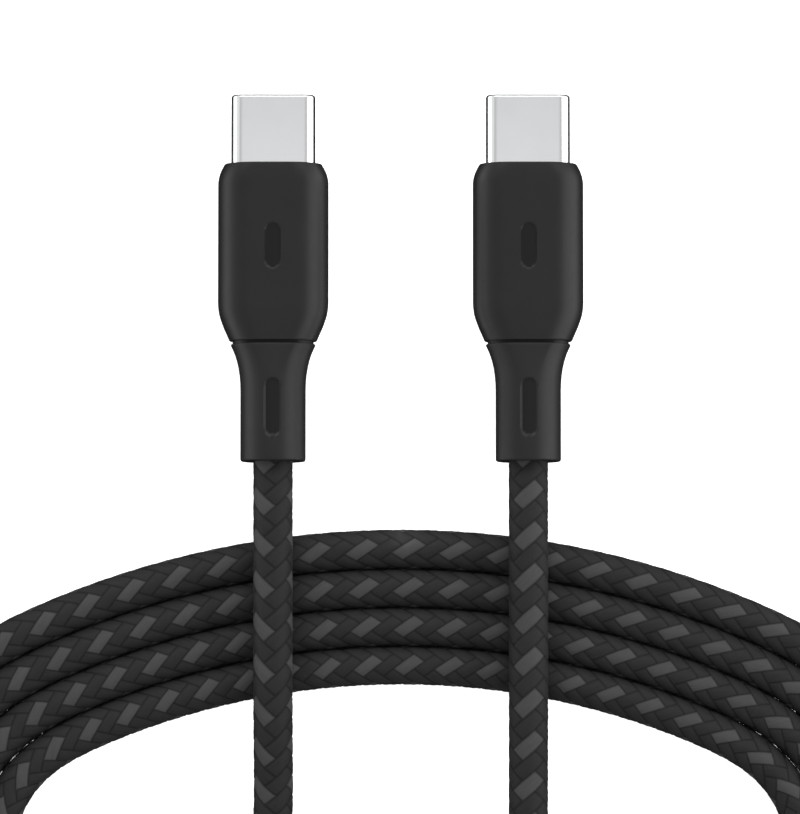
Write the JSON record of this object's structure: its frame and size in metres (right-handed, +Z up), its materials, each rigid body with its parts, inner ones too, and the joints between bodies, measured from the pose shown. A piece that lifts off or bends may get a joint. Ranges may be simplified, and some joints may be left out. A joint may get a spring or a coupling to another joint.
{
  "type": "charging cable",
  "caption": "Braided charging cable with a reversible 8.25 mm plug on each end, wound in a flat oval coil with both plugs side by side.",
  "frame": {"origin": "on the surface that the cable lies on, midway between the two plugs, level with the middle of their length", "axes": "+Y towards the plug tips, +X to the right seen from above with the tips away, +Z up from the surface"},
  "size_m": [0.1068, 0.0999, 0.0081],
  "materials": {
    "braid": null,
    "shell_steel": "drawn steel, satin nickel",
    "insulator_plastic": "glass-filled nylon",
    "contact_gold": "gold-plated",
    "spring_steel": "bright spring steel",
    "board_laminate": "green solder mask",
    "chip_black": "moulded epoxy",
    "wire_red": "insulated copper",
    "wire_white": "insulated copper",
    "mould_ivory": "hard moulding",
    "can_steel": "tinned sheet",
    "crimp_brass": "brass",
    "housing_black": "fine matt texture",
    "boot_black": "matt elastomer",
    "jacket_black": "jacket under the braid"
  },
  "bodies": {
    "cord": {"coil": "braid", "lead_a": "braid", "lead_b": "braid"},
    "plug_a": {"plug_shell_a": "shell_steel", "insulator_a": "insulator_plastic", "emi_springs_a": "spring_steel", "paddle_board_a": "board_laminate", "board_parts_a": "chip_black", "power_wires_a": "wire_red", "signal_wires_a": "wire_white", "inner_mould_a": "mould_ivory", "rear_shield_a": "can_steel", "crimp_ring_a": "crimp_brass", "housing_a": "housing_black", "boot_a": "boot_black", "cord_end_a": "jacket_black"},
    "upper_contacts_body_a": {"upper_contacts_a": "contact_gold"},
    "lower_contacts_body_a": {"lower_contacts_a": "contact_gold"},
    "latch_left_body_a": {"latch_left_a": "spring_steel"},
    "latch_right_body_a": {"latch_right_a": "spring_steel"},
    "plug_b": {"plug_shell_b": "shell_steel", "insulator_b": "insulator_plastic", "emi_springs_b": "spring_steel", "paddle_board_b": "board_laminate", "board_parts_b": "chip_black", "power_wires_b": "wire_red", "signal_wires_b": "wire_white", "inner_mould_b": "mould_ivory", "rear_shield_b": "can_steel", "crimp_ring_b": "crimp_brass", "housing_b": "housing_black", "boot_b": "boot_black", "cord_end_b": "jacket_black"},
    "upper_contacts_body_b": {"upper_contacts_b": "contact_gold"},
    "lower_contacts_body_b": {"lower_contacts_b": "contact_gold"},
    "latch_left_body_b": {"latch_left_b": "spring_steel"},
    "latch_right_body_b": {"latch_right_b": "spring_steel"}
  },
  "joints": [
    {"name": "plug_a_flex", "type": "hinge", "parent": "cord", "child": "plug_a", "pos_m": [-0.0125, -0.01275, 0.0046], "axis": [1, 0, 0], "range_deg": [0, 30], "stiffness_Nm_per_rad": 0.1, "deforming": ["boot_a", "cord_end_a"]},
    {"name": "latch_left_a_spring", "type": "hinge", "parent": "plug_a", "child": "latch_left_body_a", "pos_m": [-0.01602, 0.00541, 0.00345], "axis": [0, 0.0628, 0.998], "range_deg": [0, 1.35], "stiffness_Nm_per_rad": 0.02},
    {"name": "latch_right_a_spring", "type": "hinge", "parent": "plug_a", "child": "latch_right_body_a", "pos_m": [-0.00898, 0.00541, 0.00345], "axis": [0, -0.0628, -0.998], "range_deg": [0, 1.35], "stiffness_Nm_per_rad": 0.02},
    {"name": "upper_contacts_a_spring", "type": "hinge", "parent": "plug_a", "child": "upper_contacts_body_a", "pos_m": [-0.0125, 0.00534, 0.00395], "axis": [1, 0, 0], "range_deg": [0, 1.2], "stiffness_Nm_per_rad": 0.02},
    {"name": "lower_contacts_a_spring", "type": "hinge", "parent": "plug_a", "child": "lower_contacts_body_a", "pos_m": [-0.0125, 0.00528, 0.00297], "axis": [-1, 0, 0], "range_deg": [0, 1.2], "stiffness_Nm_per_rad": 0.02},
    {"name": "plug_b_flex", "type": "hinge", "parent": "cord", "child": "plug_b", "pos_m": [0.0125, -0.01275, 0.0046], "axis": [1, 0, 0], "range_deg": [0, 30], "stiffness_Nm_per_rad": 0.1, "deforming": ["boot_b", "cord_end_b"]},
    {"name": "latch_left_b_spring", "type": "hinge", "parent": "plug_b", "child": "latch_left_body_b", "pos_m": [0.00898, 0.00541, 0.00345], "axis": [0, 0.0628, 0.998], "range_deg": [0, 1.35], "stiffness_Nm_per_rad": 0.02},
    {"name": "latch_right_b_spring", "type": "hinge", "parent": "plug_b", "child": "latch_right_body_b", "pos_m": [0.01602, 0.00541, 0.00345], "axis": [0, -0.0628, -0.998], "range_deg": [0, 1.35], "stiffness_Nm_per_rad": 0.02},
    {"name": "upper_contacts_b_spring", "type": "hinge", "parent": "plug_b", "child": "upper_contacts_body_b", "pos_m": [0.0125, 0.00534, 0.00395], "axis": [1, 0, 0], "range_deg": [0, 1.2], "stiffness_Nm_per_rad": 0.02},
    {"name": "lower_contacts_b_spring", "type": "hinge", "parent": "plug_b", "child": "lower_contacts_body_b", "pos_m": [0.0125, 0.00528, 0.00297], "axis": [-1, 0, 0], "range_deg": [0, 1.2], "stiffness_Nm_per_rad": 0.02}
  ]
}
